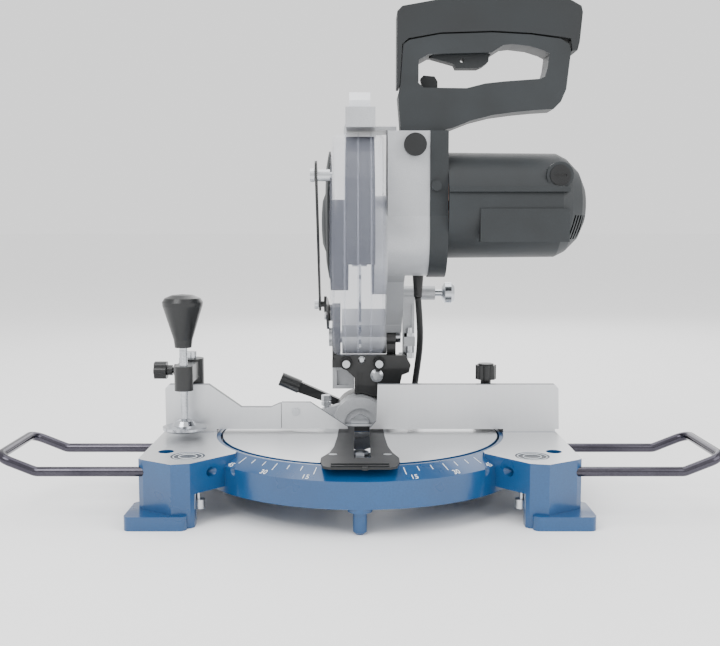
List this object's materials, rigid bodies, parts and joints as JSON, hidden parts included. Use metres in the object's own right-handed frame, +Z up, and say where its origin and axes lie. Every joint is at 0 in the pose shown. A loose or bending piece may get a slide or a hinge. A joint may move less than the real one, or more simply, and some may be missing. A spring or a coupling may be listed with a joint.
{
  "type": "mitre saw on stand",
  "caption": "Compact compound mitre saw on a cast bench base with turntable, two-part fence, hold-down clamp and pull-out support bars.",
  "frame": {"origin": "on the mitre pivot axis at floor level, in the middle of the four bench bolt holes", "axes": "+X to the user's right, +Y to the rear, +Z up"},
  "size_m": [0.679, 0.536, 0.5015],
  "materials": {
    "blue_enamel": "gloss enamel with machined tops",
    "badge_print": "gloss",
    "blue_post": "gloss enamel",
    "zinc_steel": "zinc plated",
    "machined_fence": "machined",
    "black_phenolic": "satin",
    "bright_steel": "polished",
    "black_enamel": "semi-gloss",
    "grey_enamel": "semi-gloss",
    "machined_table": "machined with blue rim",
    "clear_polycarbonate": "clear",
    "blade_steel": "ground",
    "motor_nylon": "fine grain",
    "dark_chrome": "bright dark",
    "frosted_plastic": "translucent",
    "cord_pvc": "matt",
    "winding_copper": "enamelled",
    "bumper_rubber": "matt"
  },
  "bodies": {
    "base": {"base_casting": "blue_enamel", "wing_badges": "badge_print", "front_support_post": "blue_post", "base_screws": "zinc_steel", "fence_left": "machined_fence", "fence_middle": "machined_fence", "fence_right": "machined_fence"},
    "fence_knob": {"fence_knob": "black_phenolic"},
    "clamp_post": {"clamp_post": "bright_steel"},
    "clamp_arm": {"clamp_arm": "black_enamel"},
    "clamp_lock_knob": {"clamp_lock_knob": "black_phenolic"},
    "clamp_spindle": {"clamp_spindle": "bright_steel", "clamp_pad": "bright_steel", "clamp_knob": "black_phenolic"},
    "bar_left": {"extension_bar_left": "dark_chrome"},
    "bar_right": {"extension_bar_right": "dark_chrome"},
    "turntable": {"turntable": "machined_table", "kerf_insert": "black_phenolic", "turntable_screws": "zinc_steel", "bevel_trunnion": "grey_enamel", "bevel_pivot_bolt": "zinc_steel", "mains_cord": "cord_pvc", "cord_coil": "cord_pvc", "plug": "cord_pvc"},
    "tilt_arm": {"tilt_arm": "black_enamel", "arm_bumpers": "bumper_rubber", "arm_screws": "zinc_steel", "chop_shaft": "zinc_steel", "guard_lever_bracket": "black_enamel", "arm_brackets": "grey_enamel", "cord_clip": "cord_pvc"},
    "bevel_lock_lever": {"bevel_lock_lever": "black_phenolic"},
    "guard_lever": {"guard_lever": "black_enamel"},
    "transport_pin": {"transport_pin": "bright_steel"},
    "head": {"gearbox": "grey_enamel", "inner_guard": "black_enamel", "guard_cover": "black_phenolic", "dust_box": "grey_enamel", "spout_cap": "frosted_plastic", "arbor_bearings": "zinc_steel", "stator": "winding_copper", "motor_flange": "motor_nylon", "motor_housing": "motor_nylon", "brush_caps": "black_phenolic", "handle_body": "motor_nylon", "handle_cap": "motor_nylon", "switch_module": "black_phenolic", "cord_gland": "cord_pvc", "motor_lead": "cord_pvc"},
    "lower_guard": {"lower_guard": "clear_polycarbonate", "guard_stud": "zinc_steel"},
    "blade": {"blade": "blade_steel", "blade_flanges": "zinc_steel", "arbor_bolt": "zinc_steel", "arbor_shaft": "zinc_steel", "driven_gear": "zinc_steel"},
    "armature": {"armature": "winding_copper"},
    "trigger": {"trigger": "black_phenolic"},
    "release_lever": {"release_lever": "black_phenolic"},
    "spindle_lock_button": {"spindle_lock_button": "black_phenolic"}
  },
  "joints": [
    {"name": "mitre_turn", "type": "hinge", "parent": "base", "child": "turntable", "pos_m": [0, 0, 0.058], "axis": [0, 0, 1], "range_deg": [-45, 45]},
    {"name": "bevel_tilt", "type": "hinge", "parent": "turntable", "child": "tilt_arm", "pos_m": [0, 0.09, 0.06], "axis": [0, 1, 0], "range_deg": [-35, 0]},
    {"name": "chop", "type": "hinge", "parent": "tilt_arm", "child": "head", "pos_m": [0, 0.095, 0.15], "axis": [1, 0, 0], "range_deg": [0, 43], "stiffness_Nm_per_rad": 97, "springref_deg": -24.98, "deforming": ["motor_lead"]},
    {"name": "guard_open", "type": "hinge", "parent": "head", "child": "lower_guard", "pos_m": [0, -0.01, 0.255], "axis": [1, 0, 0], "range_deg": [-88, 0.5]},
    {"name": "guard_lever_swing", "type": "hinge", "parent": "tilt_arm", "child": "guard_lever", "pos_m": [-0.041, -0.005, 0.1945], "axis": [1, 0, 0], "range_deg": [-0.5, 11.5]},
    {"name": "blade_spin", "type": "hinge", "parent": "head", "child": "blade", "pos_m": [0, -0.01, 0.255], "axis": [1, 0, 0], "continuous": true},
    {"name": "armature_spin", "type": "hinge", "parent": "head", "child": "armature", "pos_m": [0.12, -0.01, 0.295], "axis": [1, 0, 0], "continuous": true},
    {"name": "bevel_lock", "type": "hinge", "parent": "turntable", "child": "bevel_lock_lever", "pos_m": [0, 0.118, 0.06], "axis": [0, 1, 0], "range_deg": [-5, 40]},
    {"name": "transport_pin_slide", "type": "slide", "parent": "tilt_arm", "child": "transport_pin", "axis": [1, 0, 0], "range_m": [-0.007, 0]},
    {"name": "fence_knob_turn", "type": "hinge", "parent": "base", "child": "fence_knob", "pos_m": [0.1335, 0.02, 0.1], "axis": [0, 0, 1], "range_deg": [-180, 180]},
    {"name": "clamp_swivel", "type": "hinge", "parent": "base", "child": "clamp_post", "pos_m": [-0.179, 0.022, 0.1], "axis": [0, 0, 1], "range_deg": [-16, 16]},
    {"name": "clamp_height", "type": "slide", "parent": "clamp_post", "child": "clamp_arm", "axis": [0, 0, 1], "range_m": [0, 0.006]},
    {"name": "clamp_lock_turn", "type": "hinge", "parent": "clamp_arm", "child": "clamp_lock_knob", "pos_m": [-0.195, 0.022, 0.122], "axis": [1, 0, 0], "range_deg": [-180, 180]},
    {"name": "clamp_screw", "type": "slide", "parent": "clamp_arm", "child": "clamp_spindle", "axis": [0, 0, 1], "range_m": [-0.0065, 0.028]},
    {"name": "bar_left_slide", "type": "slide", "parent": "base", "child": "bar_left", "axis": [-1, 0, 0], "range_m": [-0.038, 0]},
    {"name": "bar_right_slide", "type": "slide", "parent": "base", "child": "bar_right", "axis": [1, 0, 0], "range_m": [-0.038, 0]},
    {"name": "trigger_pull", "type": "slide", "parent": "head", "child": "trigger", "axis": [0, 0, 1], "range_m": [0, 0.004], "stiffness_N_per_m": 900, "springref_m": -0.001},
    {"name": "release_slide", "type": "slide", "parent": "head", "child": "release_lever", "axis": [1, 0, 0], "range_m": [0, 0.006], "stiffness_N_per_m": 400, "springref_m": -0.001},
    {"name": "lock_button_press", "type": "slide", "parent": "head", "child": "spindle_lock_button", "axis": [0, 1, 0], "range_m": [0, 0.005], "stiffness_N_per_m": 900, "springref_m": -0.001}
  ],
  "couplings": [
    {"joint": "guard_open", "follows": "chop", "ratio": -2.0161},
    {"joint": "guard_lever_swing", "follows": "chop", "ratio": 0.256},
    {"joint": "armature_spin", "follows": "blade_spin", "ratio": -1.9091}
  ]
}
